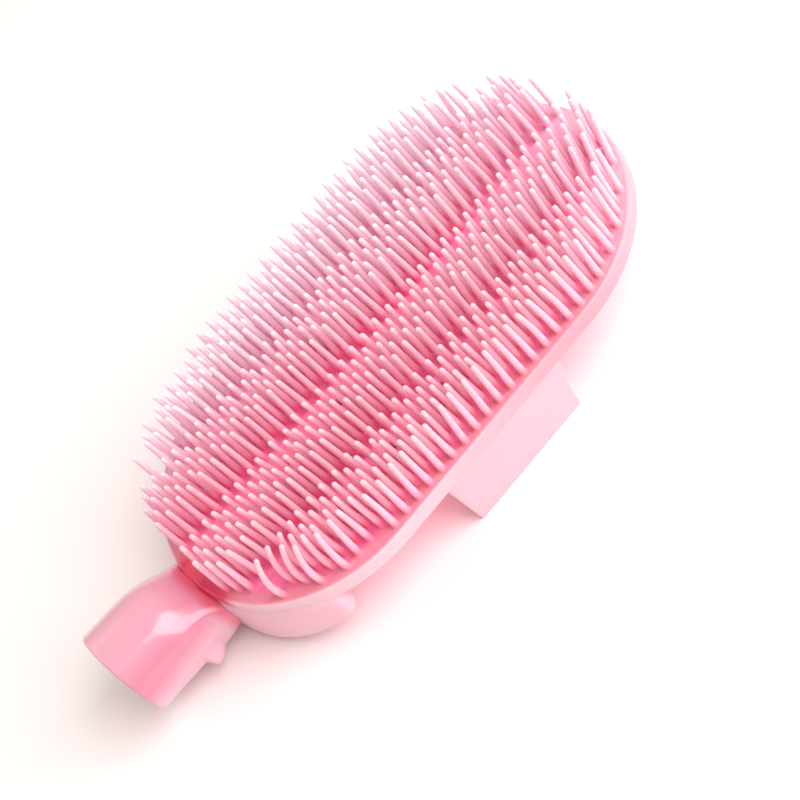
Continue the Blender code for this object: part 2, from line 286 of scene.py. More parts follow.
def straight(start, end, outwards, steps):
    """Points between start and end, without these two, with the outward direction at each."""
    points = []
    for i in range(1, steps):
        share = i / steps
        x = start[0] + (end[0] - start[0]) * share
        y = start[1] + (end[1] - start[1]) * share
        points.append((x, y, *outwards))
    return points


def pad_outline():
    """The pad's outline as points with outward directions, anticlockwise."""
    outline = []
    for side in (1.0, -1.0):
        x = side * PAD_STRAIGHT
        y = side * PAD_RADIUS
        start = -0.5 * math.pi * side
        outline += arc((x, 0.0), PAD_RADIUS, start, start + math.pi, ARC_STEPS)
        outline += straight((x, y), (-x, y), (0.0, side), STRAIGHT_STEPS)
    return outline


def inset_ring(outline, inset, height):
    """The outline moved inwards; height is a number or a function of x."""
    ring = []
    for x, y, nx, ny in outline:
        px = x - inset * nx
        z = height(px) if callable(height) else height
        ring.append((px, y - inset * ny, z))
    return ring


def quarter(radius, steps):
    """Offsets (inwards, along) round an edge of that radius."""
    turns = [math.radians(90.0 * i / steps) for i in range(steps + 1)]
    return [(radius * (1.0 - math.cos(t)), radius * (1.0 - math.sin(t))) for t in turns]


# ---------------------------------------------------------------- materials

CLOUD_SCALE = 90.0               # noise sizes, per metre
GRAIN_SCALE = 400.0
MOTTLE = 0.03                    # how much lighter or darker the clouds are
GRAIN = 0.02                     # how much rougher or smoother the grain is
LIGHT_REACH = (1.0, 0.42, 0.5)   # red light goes furthest through pink silicone
SILICONE_IOR = 1.41
COAT_ROUGHNESS = 0.14


def new_material(name):
    """A new material with its nodes, its links and its shader."""
    material = bpy.data.materials.new(name)
    material.use_nodes = True
    nodes = material.node_tree.nodes
    return material, nodes, material.node_tree.links, nodes["Principled BSDF"]


def ramp_node(nodes, stops):
    """A colour ramp through stops of (place, colour)."""
    ramp = nodes.new("ShaderNodeValToRGB")
    elements = ramp.color_ramp.elements
    while len(elements) < len(stops):
        elements.new(0.5)
    for element, (place, colour) in zip(elements, stops):
        element.position = place
        element.color = (*colour, 1.0)
    return ramp


def silicone(name, colours, span, roughness, glow, depth, coat=0.0, shine=0.5):
    """Translucent silicone whose colour goes from low to high over a span of heights.

    glow is the share of light that passes under the skin, and depth how far it goes, in mm."""
    material, nodes, links, shader = new_material(name)
    place = nodes.new("ShaderNodeTexCoord")
    split = nodes.new("ShaderNodeSeparateXYZ")
    links.new(place.outputs["Object"], split.inputs[0])
    height = nodes.new("ShaderNodeMapRange")
    height.inputs["From Min"].default_value = span[0]
    height.inputs["From Max"].default_value = span[1]
    links.new(split.outputs["Z"], height.inputs["Value"])
    ramp = ramp_node(nodes, colours)
    links.new(height.outputs["Result"], ramp.inputs["Fac"])

    cloud = nodes.new("ShaderNodeTexNoise")
    cloud.inputs["Scale"].default_value = CLOUD_SCALE
    cloud.inputs["Detail"].default_value = 3.0
    links.new(place.outputs["Object"], cloud.inputs["Vector"])
    shade = nodes.new("ShaderNodeHueSaturation")
    links.new(ramp.outputs["Color"], shade.inputs["Color"])
    level = nodes.new("ShaderNodeMapRange")
    level.inputs["To Min"].default_value = 1.0 - MOTTLE
    level.inputs["To Max"].default_value = 1.0 + MOTTLE
    links.new(cloud.outputs["Fac"], level.inputs["Value"])
    links.new(level.outputs["Result"], shade.inputs["Value"])
    links.new(shade.outputs["Color"], shader.inputs["Base Color"])

    grain = nodes.new("ShaderNodeTexNoise")
    grain.inputs["Scale"].default_value = GRAIN_SCALE
    grain.inputs["Detail"].default_value = 2.0
    links.new(place.outputs["Object"], grain.inputs["Vector"])
    rough = nodes.new("ShaderNodeMapRange")
    rough.inputs["To Min"].default_value = roughness - GRAIN
    rough.inputs["To Max"].default_value = roughness + GRAIN
    links.new(grain.outputs["Fac"], rough.inputs["Value"])
    links.new(rough.outputs["Result"], shader.inputs["Roughness"])

    shader.inputs["Subsurface Weight"].default_value = glow
    shader.inputs["Subsurface Radius"].default_value = LIGHT_REACH
    shader.inputs["Subsurface Scale"].default_value = depth * MM
    shader.inputs["IOR"].default_value = SILICONE_IOR
    shader.inputs["Specular IOR Level"].default_value = shine
    shader.inputs["Coat Weight"].default_value = coat
    shader.inputs["Coat Roughness"].default_value = COAT_ROUGHNESS
    return material


def pad_edge_distance(nodes, links, place):
    """How far inside the pad's outline a point lies, in metres, as a node output."""
    split = nodes.new("ShaderNodeSeparateXYZ")
    links.new(place, split.inputs[0])
    reach = nodes.new("ShaderNodeMath")
    reach.operation = "ABSOLUTE"
    links.new(split.outputs["X"], reach.inputs[0])
    past = nodes.new("ShaderNodeMath")
    past.operation = "SUBTRACT"
    past.inputs[1].default_value = PAD_STRAIGHT
    links.new(reach.outputs[0], past.inputs[0])
    beyond = nodes.new("ShaderNodeMath")
    beyond.operation = "MAXIMUM"
    beyond.inputs[1].default_value = 0.0
    links.new(past.outputs[0], beyond.inputs[0])
    flat = nodes.new("ShaderNodeCombineXYZ")
    links.new(beyond.outputs[0], flat.inputs["X"])
    links.new(split.outputs["Y"], flat.inputs["Y"])
    length = nodes.new("ShaderNodeVectorMath")
    length.operation = "LENGTH"
    links.new(flat.outputs[0], length.inputs[0])
    inside = nodes.new("ShaderNodeMath")
    inside.operation = "SUBTRACT"
    inside.inputs[0].default_value = PAD_RADIUS
    links.new(length.outputs["Value"], inside.inputs[1])
    return inside.outputs[0]


def smooth_range(nodes, links, value, start, end, most=1.0):
    """A node output that goes smoothly from 0 at start to most at end."""
    share = nodes.new("ShaderNodeMapRange")
    share.interpolation_type = "SMOOTHSTEP"
    share.inputs["From Min"].default_value = start
    share.inputs["From Max"].default_value = end
    share.inputs["To Max"].default_value = most
    links.new(value, share.inputs["Value"])
    return share.outputs["Result"]


def product(nodes, links, first, second):
    """A node output that multiplies two others."""
    both = nodes.new("ShaderNodeMath")
    both.operation = "MULTIPLY"
    links.new(first, both.inputs[0])
    links.new(second, both.inputs[1])
    return both.outputs[0]


def mix_in(material, share, colour):
    """Mix a colour into a material's base colour by a node output."""
    nodes, links = material.node_tree.nodes, material.node_tree.links
    shader = nodes["Principled BSDF"]
    plain = shader.inputs["Base Color"].links[0].from_socket
    blend = nodes.new("ShaderNodeMix")
    blend.data_type = "RGBA"
    links.new(share, blend.inputs["Factor"])
    links.new(plain, blend.inputs[6])
    blend.inputs[7].default_value = (*colour, 1.0)
    links.new(blend.outputs[2], shader.inputs["Base Color"])


def paint_shade_between_bristles(material):
    """Painted shade: let the colour turn deep pink between the bristles, where they shade each other,
    inside the pad's plain border.
    """
    nodes, links = material.node_tree.nodes, material.node_tree.links
    place = nodes.new("ShaderNodeTexCoord").outputs["Object"]
    share = smooth_range(nodes, links, pad_edge_distance(nodes, links, place), BORDER, BORDER_FADE)
    split = nodes.new("ShaderNodeSeparateXYZ")
    links.new(place, split.inputs[0])
    low = smooth_range(nodes, links, split.outputs["Z"], PAD_TOP + SHADE_RISE, PAD_TOP)
    mix_in(material, product(nodes, links, share, low), SHADE_PINK)


def shift_colour(material, colour, way, start, end, most, rise=0.0):
    """Let the colour turn to another one along a direction; with a rise, only above the face."""
    nodes, links = material.node_tree.nodes, material.node_tree.links
    place = nodes.new("ShaderNodeTexCoord").outputs["Object"]
    along = nodes.new("ShaderNodeVectorMath")
    along.operation = "DOT_PRODUCT"
    along.inputs[1].default_value = way
    links.new(place, along.inputs[0])
    share = smooth_range(nodes, links, along.outputs["Value"], start, end, most)
    if rise > 0.0:
        split = nodes.new("ShaderNodeSeparateXYZ")
        links.new(place, split.inputs[0])
        above = smooth_range(nodes, links, split.outputs["Z"], PAD_TOP, PAD_TOP + rise)
        share = product(nodes, links, share, above)
    mix_in(material, share, colour)


def paint_hollow_shade(material, start, end, most, half_width):
    """Painted shade: let the colour turn deeper from start to end along X, in the hollow between pad and
    neck.
    """
    nodes, links = material.node_tree.nodes, material.node_tree.links
    split = nodes.new("ShaderNodeSeparateXYZ")
    links.new(nodes.new("ShaderNodeTexCoord").outputs["Object"], split.inputs[0])
    offset = nodes.new("ShaderNodeMath")
    offset.operation = "ADD"
    offset.inputs[1].default_value = HOLLOW_SHADE_SHIFT
    links.new(split.outputs["Y"], offset.inputs[0])
    reach = nodes.new("ShaderNodeMath")
    reach.operation = "ABSOLUTE"
    links.new(offset.outputs[0], reach.inputs[0])
    near = smooth_range(nodes, links, split.outputs["X"], start, end, most)
    middle = smooth_range(nodes, links, reach.outputs[0], half_width, 0.6 * half_width)
    low = smooth_range(nodes, links, split.outputs["Z"], HOLLOW_SHADE_TOP, HOLLOW_SHADE_LOW)
    mix_in(material, product(nodes, links, product(nodes, links, near, middle), low), HOLLOW_SHADE_PINK)


def paint_pad_light_and_shade(material):
    """The colours that the face and the feet of its bristles share: painted shade between the bristles
    and painted light towards the far end and the rear.
    """
    paint_shade_between_bristles(material)
    shift_colour(material, FAR_LIGHT_PINK, TO_FAR, *FAR_FADE, 0.45)
    shift_colour(material, REAR_LIGHT_PINK, TO_REAR, *REAR_FADE, 0.4)


# Painted shade: the deep pink between the bristles.
SHADE_PINK = (0.97, 0.21, 0.40)
# Painted shade: the darker land of the face and the roots of the bristles, which the bristles shade.
LAND_SHADE_PINK = (0.80, 0.25, 0.33)
MID_PINK = (0.97, 0.48, 0.62)
# Painted light: the slightly paler tips of the bristles.
TIP_LIT_PINK = (0.95, 0.54, 0.62)
# Painted light: the bristles and the face turn paler, washed out, towards the far end, the far rear and
# the rear.
PAINTED_LIGHT_PINK = (0.98, 0.76, 0.84)
FAR_LIGHT_PINK = (0.96, 0.60, 0.72)
REAR_LIGHT_PINK = (1.0, 0.80, 0.88)
RIM_PINK = (0.86, 0.55, 0.62)
# Painted shade: the far end of the rim, where the key light falls most, is darker.
RIM_FAR_SHADE = (0.80, 0.29, 0.36)
# Painted light: the body is a little paler towards its lower edge.
BODY_LOW_LIT = (0.87, 0.54, 0.63)
BODY_HIGH = (0.87, 0.49, 0.59)
STRAP_PINK = (0.86, 0.49, 0.57)
# Painted light: the bell's low band, which the floor lights, and its top are paler than its middle.
BELL_LOW_LIT = (0.76, 0.41, 0.51)
BELL_MID = (0.66, 0.23, 0.33)
BELL_TOP_LIT = (0.72, 0.34, 0.43)
# Painted shade: the deep hollow between the pad and the neck.
HOLLOW_SHADE_PINK = (0.72, 0.035, 0.10)
HOLLOW_SHADE_SHIFT = 3.0 * MM          # the painted shade in the deep hollow between pad and neck is nearer the front
PAINTED_LIGHT_RISE = 2.0 * MM             # over which the bristles turn paler than the face, in painted light
# Heights over which the painted shade in the hollow fades out upwards.
HOLLOW_SHADE_TOP = PAD_TOP + 4.0 * MM
HOLLOW_SHADE_LOW = PAD_TOP + 0.5 * MM
# Where the painted shade in the hollow starts and ends along X, how deep it goes and how wide it
# reaches, on the pad and on the neck.
PAD_HOLLOW_SHADE = (-50.5 * MM, -54.0 * MM, 1.0, 10.0 * MM)
NECK_HOLLOW_SHADE = (-58.2 * MM, -55.8 * MM, 0.6, 20.0 * MM)
BORDER = 1.8 * MM                # the border inside the pad's outline left plain by the painted shade, and where it has faded
BORDER_FADE = 4.2 * MM
SHADE_RISE = 3.5 * MM             # how far up the bristles the deep pink of the painted shade reaches
TO_FAR_REAR = (0.45, 0.8, 0.0)
TO_REAR = (0.0, 1.0, 0.0)
TO_FAR = (1.0, 0.0, 0.0)
FAR_REAR_FADE = (-22.0 * MM, 22.0 * MM)
REAR_FADE = (6.0 * MM, 28.0 * MM)
FAR_FADE = (15.0 * MM, 55.0 * MM)
RIM_FADE = (-40.0 * MM, 40.0 * MM)
SKIN = {"glow": 0.15, "depth": 0.8, "coat": 0.1}

# The bristles: darker at the root (painted shade), a touch paler at the tip (painted light), paler
# towards the far rear and the rear above the face (painted light), deep pink between them (painted
# shade) and deeper in the hollow by the neck (painted shade).
bristle_material = silicone(
    "bristle_silicone", [(0.0, LAND_SHADE_PINK), (0.2, MID_PINK), (1.0, TIP_LIT_PINK)],
    (PAD_TOP, PAD_TOP + BRISTLE_LENGTH), 0.45, glow=0.45, depth=1.6, shine=0.25)
shift_colour(bristle_material, PAINTED_LIGHT_PINK, TO_FAR_REAR, *FAR_REAR_FADE, 0.65, PAINTED_LIGHT_RISE)
paint_pad_light_and_shade(bristle_material)
shift_colour(bristle_material, REAR_LIGHT_PINK, TO_REAR, *REAR_FADE, 0.6, PAINTED_LIGHT_RISE)
paint_hollow_shade(bristle_material, *PAD_HOLLOW_SHADE)

# The face: its land darker than its rim (painted shade), the far end of the rim darker (painted shade),
# deep pink between the bristles (painted shade), paler towards the far end and the rear (painted light)
# and deeper in the hollow by the neck (painted shade).
face_material = silicone(
    "face_silicone", [(0.0, RIM_PINK), (0.93, RIM_PINK), (1.0, LAND_SHADE_PINK)],
    (RIM_BOTTOM, PAD_TOP), 0.36, **SKIN)
shift_colour(face_material, RIM_FAR_SHADE, TO_FAR, *RIM_FADE, 0.9)
paint_pad_light_and_shade(face_material)
paint_hollow_shade(face_material, *PAD_HOLLOW_SHADE)

# The body: a little paler towards the bottom (painted light).
body_material = silicone(
    "body_silicone", [(0.0, BODY_LOW_LIT), (1.0, BODY_HIGH)], (funnel_low.z, funnel_high.z), 0.38, **SKIN)

strap_material = silicone(
    "strap_silicone", [(0.0, STRAP_PINK), (1.0, STRAP_PINK)], (0.0, RIM_BOTTOM), 0.4,
    glow=0.3, depth=1.5)

# The bell: paler in its low band and near its top than in its middle (painted light), and deeper in the
# hollow by the pad (painted shade).
socket_material = silicone(
    "socket_silicone",
    [(0.0, BELL_LOW_LIT), (0.4, BELL_LOW_LIT), (0.6, BELL_MID), (0.75, BELL_MID), (1.0, BELL_TOP_LIT)],
    (socket_low.z, socket_high.z), 0.26, glow=0.2, depth=0.8, coat=1.0)
paint_hollow_shade(socket_material, *NECK_HOLLOW_SHADE)


# ---------------------------------------------------------------- pad

def row_places():
    """The y of each bristle row, in four lists, one for each band."""
    band_width = (ROWS_PER_BAND - 1) * ROW_PITCH
    starts = [0.5 * CENTRE_GROOVE]
    starts.append(starts[0] + band_width + OUTER_GROOVE)
    half = [[start + i * ROW_PITCH for i in range(ROWS_PER_BAND)] for start in starts]
    mirrored = [[-y for y in reversed(band)] for band in reversed(half)]
    return mirrored + half


def groove_middles():
    """The y of the middle of each groove between two bands."""
    bands = row_places()
    return [0.5 * (low[-1] + high[0]) for low, high in zip(bands, bands[1:])]


def build_face():
    """The plate under the bristles with its rounded rim, a recess for each band and water outlets."""
    outline = pad_outline()
    profile = []
    for inwards, drop in reversed(quarter(RIM_ROUND, 7)):
        profile.append((inwards, PAD_TOP - drop))
    profile.append((0.0, RIM_BOTTOM))
    profile.append((RIM_WIDTH, RIM_BOTTOM))
    profile.append((RIM_WIDTH, CHAMBER_TOP))
    shell = Shell()
    rings = shell.sweep([inset_ring(outline, inset, z) for inset, z in profile])
    upper = []
    lower = []
    middle = 0.5 * (OUTLETS_PER_GROOVE - 1)
    for y in groove_middles():
        for i in range(OUTLETS_PER_GROOVE):
            centre = ((i - middle) * OUTLET_SPACING, y)
            levels = [circle(centre, OUTLET_RADIUS * grow, z, OUTLET_SIDES) for grow, z in OUTLET_LEVELS]
            hole = shell.sweep(levels)
            upper.append(hole[0])
            lower.append(hole[-1])
    for band in row_places():
        strip = band_outline(band, 0.0)
        recess = shell.sweep([[(x, y, z) for x, y in strip] for z in (PAD_TOP, PAD_TOP - WEB_THICKNESS)])
        upper.append(recess[0])
        shell.cap(recess[1], [], PAD_TOP - WEB_THICKNESS)
    shell.cap(rings[0], upper, PAD_TOP)
    shell.cap(rings[-1], lower, CHAMBER_TOP)
    face = add_piece("pad_face", shell, face_material, 50.0)
    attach(face, "pad")
    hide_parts("face_plate")


def edge_x(y, inset):
    """How far the pad's outline reaches in X at a given y, for an outline moved inwards."""
    radius = PAD_RADIUS - inset
    return PAD_STRAIGHT + math.sqrt(max(radius * radius - y * y, 0.0))


def outline_inset(x, y):
    """How far inside the pad's outline a point lies."""
    return PAD_RADIUS - math.hypot(max(abs(x) - PAD_STRAIGHT, 0.0), y)


def bristle_feet(band):
    """Where the bristles of one band stand; those at the round end's edge move in a little."""
    feet = []
    reach = math.ceil((PAD_STRAIGHT + PAD_RADIUS) / BRISTLE_PITCH) + 1
    for i, y in enumerate(band):
        shift = LATTICE_PHASE + 0.5 * (i % 2) * BRISTLE_PITCH
        for k in range(-reach, reach + 1):
            x = shift + k * BRISTLE_PITCH
            inset = outline_inset(x, y)
            limit = FAR_INSET if x > PAD_STRAIGHT else NEAR_INSET
            if inset < limit:
                continue
            if inset < FOOT_INSET and abs(x) > PAD_STRAIGHT:
                centre = Vector((math.copysign(PAD_STRAIGHT, x), 0.0))
                outwards = (Vector((x, y)) - centre).normalized()
                x, foot_y = centre + outwards * (PAD_RADIUS - FOOT_INSET)
                feet.append((x, foot_y))
            else:
                feet.append((x, y))
    return feet


def band_outline(band, grow):
    """The strip of the pad under one band, as a loop of points."""
    inset = WEB_INSET - grow
    limit = PAD_RADIUS - WEB_SIDE_INSET + grow
    low = max(band[0] - WEB_MARGIN - grow, -limit)
    high = min(band[-1] + WEB_MARGIN + grow, limit)
    turns = span_steps(0.0, math.pi, WEB_STEPS)
    levels = [low + (high - low) * 0.5 * (1.0 - math.cos(turn)) for turn in turns]
    right = [(edge_x(y, inset), y) for y in levels]
    left = [(-x, y) for x, y in reversed(right)]
    return right + left


# How far bristle tips lean, in millimetres, at places along X (or across, in Y) in millimetres.
FRONT_LEAN = [(-36.0, 1.1), (-30.0, 0.45), (6.0, 0.4), (11.0, 0.0)]
FRONT_LEAN += [(18.0, -0.65), (26.0, -0.6), (31.0, 0.0)]
MIDDLE_LEAN = [(-14.0, -0.3), (14.0, 0.5)]
NEAR_END_LEAN = [(-6.0, 1.0), (12.0, 0.8)]
FAR_END_LEAN = [(-15.0, 1.9), (-3.0, 0.4), (10.0, -0.3)]
FAR_END_SPREAD = [(-30.0, -0.5), (-10.0, 0.0), (0.0, 0.7)]
CORNER_LEAN = 2.0 * MM           # the curled bristles at the front corner beside the neck
CORNER_BOW = 0.85 * MM

# Where each of these leans fades in or out, in millimetres.
FRONT_FADE = (-29.0, -25.5)
MIDDLE_START = (-16.0, -13.0)
MIDDLE_END = (-6.0, -2.0)
CORNER_X = (-43.0, -31.0)
CORNER_Y = (-19.0, -14.0)
NEAR_END = (-54.0, -45.0)
FAR_END = (36.0, 54.0)


def bristle_bend(x, y, chance):
    """How far a bristle's tip leans and how far its middle bows out, both in x and y."""
    lean = Vector([chance.gauss(0.0, spread) for spread in LEAN_SPREAD])
    bow = Vector([chance.gauss(0.0, spread) for spread in BOW_SPREAD])
    if chance.random() < WILD_SHARE:
        lean += Vector([chance.gauss(0.0, spread) for spread in WILD_SPREAD])
    along = x / MM
    across = y / MM
    front = 1.0 - smooth_step(across, *FRONT_FADE)
    lean.x += front * MM * smooth_curve(along, FRONT_LEAN)
    middle = smooth_step(across, *MIDDLE_START) * (1.0 - smooth_step(across, *MIDDLE_END))
    lean.x += middle * MM * smooth_curve(along, MIDDLE_LEAN)
    corner = (1.0 - smooth_step(along, *CORNER_X)) * (1.0 - smooth_step(across, *CORNER_Y))
    lean.x += corner * CORNER_LEAN
    bow.x -= corner * CORNER_BOW
    near_end = (1.0 - smooth_step(along, *NEAR_END)) * (1.0 - corner)
    lean.x += near_end * MM * smooth_curve(across, NEAR_END_LEAN)
    far_end = smooth_step(along, *FAR_END)
    lean.x += far_end * MM * smooth_curve(across, FAR_END_LEAN)
    lean.y += far_end * MM * smooth_curve(across, FAR_END_SPREAD)
    return lean, bow


def bristle_rings(x, y, lean, bow, length):
    """The rings of one bristle, from its flared root to its rounded tip."""
    foot = Vector((x, y, PAD_TOP))

    def centre(share):
        bent = lean * share ** 1.3 + bow * (4.0 * share * (1.0 - share))
        return foot + Vector((bent.x, bent.y, length * share))

    body_end = 1.0 - TIP_RADIUS / length
    rings = []
    for share in (*BRISTLE_SHARES, body_end):
        radius = (ROOT_RADIUS + (TIP_RADIUS - ROOT_RADIUS) * share) * ROOT_FLARE.get(share, 1.0)
        rings.append((centre(share), radius, share))
    for turn in TIP_TURNS:
        rise = math.sin(math.radians(turn)) * TIP_RADIUS / length
        rings.append((centre(body_end + rise), TIP_RADIUS * math.cos(math.radians(turn)), body_end))
    points = []
    for middle, radius, share in rings:
        if share < 0.03:
            tangent = Vector((0.0, 0.0, 1.0))
        else:
            tangent = (centre(min(share + 0.02, 1.0)) - centre(share - 0.02)).normalized()
        side = Vector((0.0, 1.0, 0.0)).cross(tangent).normalized()
        other = tangent.cross(side)
        ring = []
        for i in range(BRISTLE_SIDES):
            turn = 2.0 * math.pi * i / BRISTLE_SIDES
            ring.append(middle + side * (radius * math.cos(turn)) + other * (radius * math.sin(turn)))
        points.append(ring)
    return points, centre(1.0)


def build_band(number, band, chance):
    """One band: a thin web with its bristles, as one closed mesh."""
    shell = Shell()
    outline = band_outline(band, -TOUCH)
    floor = PAD_TOP - WEB_THICKNESS + TOUCH
    rings = shell.sweep([[(x, y, z) for x, y in outline] for z in (floor, PAD_TOP)])
    shell.cap(rings[0], [], floor)
    feet = []
    for x, y in bristle_feet(band):
        lean, bow = bristle_bend(x, y, chance)
        length = BRISTLE_LENGTH * (1.0 - abs(chance.gauss(0.0, LENGTH_SPREAD)))
        points, top = bristle_rings(x, y, lean, bow, length)
        numbers = shell.sweep(points)
        feet.append(numbers[0])
        tip = shell.ring([top])[0]
        last = numbers[-1]
        for i in range(BRISTLE_SIDES):
            shell.faces.append((last[i], last[(i + 1) % BRISTLE_SIDES], tip))
    shell.cap(rings[-1], feet, PAD_TOP)
    piece = add_piece(f"bristles_{number}", shell, bristle_material, 60.0)
    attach(piece, "pad")
    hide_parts(f"bristle_band_{number}")


def build_cover():
    """The shallow tray that closes the water chamber from behind."""
    outline = cut_outline(FUNNEL_END_X + COVER_GAP, PAD_RADIUS - COVER_INSET, COVER_CORNER, 1.0)
    floor = cover_low.z + COVER_WALL
    shell = Shell()
    profile = [(inwards, cover_low.z + rise) for inwards, rise in reversed(quarter(COVER_EDGE, 5))]
    profile += [(0.0, cover_high.z), (COVER_WALL, cover_high.z), (COVER_WALL, floor)]
    rings = shell.sweep([inset_ring(outline, inwards, z) for inwards, z in profile])
    shell.cap(rings[0], [], cover_low.z)
    shell.cap(rings[-1], [], floor)
    cover = add_piece("back_cover_panel", shell, body_material, 50.0)
    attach(cover, "pad")
    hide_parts("back_cover")


def cut_outline(cut_x, radius, corner, keep):
    """The pad's outline at that radius, cut square at cut_x with rounded corners.

    keep is 1 for the part beyond cut_x and -1 for the part before it."""
    inner_x = cut_x + keep * corner
    near = -PAD_STRAIGHT
    far = PAD_STRAIGHT
    inner_y = math.sqrt((radius - corner) ** 2 - (inner_x - near) ** 2)
    tangent = math.atan2(inner_y, inner_x - near)
    whole = 2.0 * math.pi
    half = math.pi
    right = 0.5 * math.pi
    if keep > 0:
        outline = arc((far, 0.0), radius, -right, right, ARC_STEPS)
        outline += straight((far, radius), (near, radius), (0.0, 1.0), STRAIGHT_STEPS)
        outline += arc((near, 0.0), radius, right, tangent, 12)[:-1]
        outline += arc((inner_x, inner_y), corner, tangent, half, 6)
        outline += straight((cut_x, inner_y), (cut_x, -inner_y), (-1.0, 0.0), STRAIGHT_STEPS)
        outline += arc((inner_x, -inner_y), corner, half, whole - tangent, 6)[:-1]
        outline += arc((near, 0.0), radius, whole - tangent, half + right, 12)
        outline += straight((near, -radius), (far, -radius), (0.0, -1.0), STRAIGHT_STEPS)
    else:
        outline = arc((near, 0.0), radius, tangent, whole - tangent, 2 * ARC_STEPS)[:-1]
        outline += arc((inner_x, -inner_y), corner, -tangent, 0.0, 8)
        outline += straight((cut_x, -inner_y), (cut_x, inner_y), (1.0, 0.0), 2 * STRAIGHT_STEPS)
        outline += arc((inner_x, inner_y), corner, 0.0, tangent, 8)[:-1]
    return outline


def funnel_bottom(x):
    """The underside of the funnel slopes down towards the socket."""
    share = (FUNNEL_END_X - x) / (FUNNEL_END_X + PAD_STRAIGHT + PAD_RADIUS)
    return FUNNEL_BOTTOM_INNER + (FUNNEL_BOTTOM_TIP - FUNNEL_BOTTOM_INNER) * min(max(share, 0.0), 1.0)


def neck_port():
    """A guide cylinder along the neck's bore, to cut the way into the funnel."""
    bm = bmesh.new()
    turn = Vector((0.0, 0.0, 1.0)).rotation_difference(NECK_AXIS).to_matrix().to_4x4()
    place = Matrix.Translation(NECK_START) @ turn
    bmesh.ops.create_cone(bm, cap_ends=True, segments=40, radius1=NECK_BORE, radius2=NECK_BORE,
                          depth=PORT_LENGTH, matrix=place)
    mesh = bpy.data.meshes.new("port_guide")
    bm.to_mesh(mesh)
    bm.free()
    guide = bpy.data.objects.new("port_guide", mesh)
    bpy.context.scene.collection.objects.link(guide)
    return guide


def cut_away(obj, guide):
    """Cut the guide's shape out of an object for good, and remove the guide."""
    cut = obj.modifiers.new("cut", "BOOLEAN")
    cut.operation = "DIFFERENCE"
    cut.solver = "EXACT"
    cut.object = guide
    bpy.context.view_layer.update()
    evaluated = obj.evaluated_get(bpy.context.evaluated_depsgraph_get())
    mesh = bpy.data.meshes.new_from_object(evaluated)
    obj.modifiers.clear()
    obj.data = mesh
    bpy.data.objects.remove(guide)


def cove_height(x, share):
    """How far above the rim's foot the body's soft upper edge is; it climbs the rim at the tip."""
    end = COVE_LOW + (COVE_HIGH - COVE_LOW) * (1.0 - smooth_step(x, *COVE_FADE))
    return COVE_START + (end - COVE_START) * share


def build_funnel():
    """The deeper body under the pad's socket end, open to the chamber and to the neck."""
    outline = cut_outline(FUNNEL_END_X, FUNNEL_RADIUS, FUNNEL_CORNER, -1.0)
    top = RIM_BOTTOM - TOUCH
    rings = []
    for inwards, rise in reversed(quarter(FUNNEL_LOW_EDGE, 6)):
        rings.append(inset_ring(outline, inwards, lambda x, rise=rise: funnel_bottom(x) + rise))
    for step in range(COVE_STEPS + 1):
        share = step / COVE_STEPS
        inwards = COVE_DEPTH * smooth_step(share, 0.0, 1.0)
        rings.append(inset_ring(outline, inwards, lambda x, share=share: top + cove_height(x, share)))
    against = COVE_DEPTH + COVE_EDGE
    rings.append(inset_ring(outline, against, lambda x: top + cove_height(x, 1.0) + COVE_EDGE))
    rings.append(inset_ring(outline, against, top))
    shell = Shell()
    numbers = shell.sweep(rings)
    shell.faces.append(tuple(reversed(numbers[0])))
    inner = cut_outline(FUNNEL_END_X - FUNNEL_WALL, FUNNEL_RADIUS - FUNNEL_WALL, FUNNEL_CORNER, -1.0)
    inside = shell.sweep([
        inset_ring(inner, 0.0, top),
        inset_ring(inner, 0.0, lambda x: funnel_bottom(x) + FUNNEL_WALL),
    ])
    shell.cap(numbers[-1], [inside[0]], top)
    shell.faces.append(tuple(inside[1]))
    body = add_piece("inlet_body", shell, body_material)
    cut_away(body, neck_port())
    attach(body, "pad")
    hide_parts("inlet_funnel")


# ---------------------------------------------------------------- strap

def strap_line(depth, corner):
    """Half of the strap's line in the Y-Z plane at that depth from its outer face, as (y, z)."""
    side = span_low.y + depth
    top = RIM_BOTTOM - TOUCH
    line = []
    for i in range(STRAP_WALL_STEPS):
        line.append((side, top + (depth + corner - top) * i / STRAP_WALL_STEPS))
    bend = arc((side + corner, depth + corner), corner, math.pi, 1.5 * math.pi, 8)
    line += [point[:2] for point in bend]
    for i in range(1, STRAP_FLOOR_STEPS + 1):
        line.append(((side + corner) * (1.0 - i / STRAP_FLOOR_STEPS), depth))
    return line


def strap_path():
    """The strap's outer and inner lines from rim to rim, as (y, z, inner y, inner z)."""
    outer = strap_line(0.0, STRAP_CORNER)
    inner = strap_line(STRAP_THICKNESS, STRAP_FILLET)
    half = [(*a, *b) for a, b in zip(outer, inner)]
    return half + [(-y, z, -inner_y, inner_z) for y, z, inner_y, inner_z in reversed(half[:-1])]


def strap_section(x_near, x_far):
    """A flat section with rounded corners, as (x, depth from the outer face)."""
    section = []
    corners = [(x_near, 0.0, 1.0, 1.0), (x_far, 0.0, -1.0, 1.0),
               (x_far, STRAP_THICKNESS, -1.0, -1.0), (x_near, STRAP_THICKNESS, 1.0, -1.0)]
    for number, (x, depth, to_x, to_depth) in enumerate(corners):
        centre = (x + to_x * STRAP_ROUND, depth + to_depth * STRAP_ROUND)
        start = math.pi + 0.5 * math.pi * number
        section += [point[:2] for point in arc(centre, STRAP_ROUND, start, start + 0.5 * math.pi, 4)]
    return section


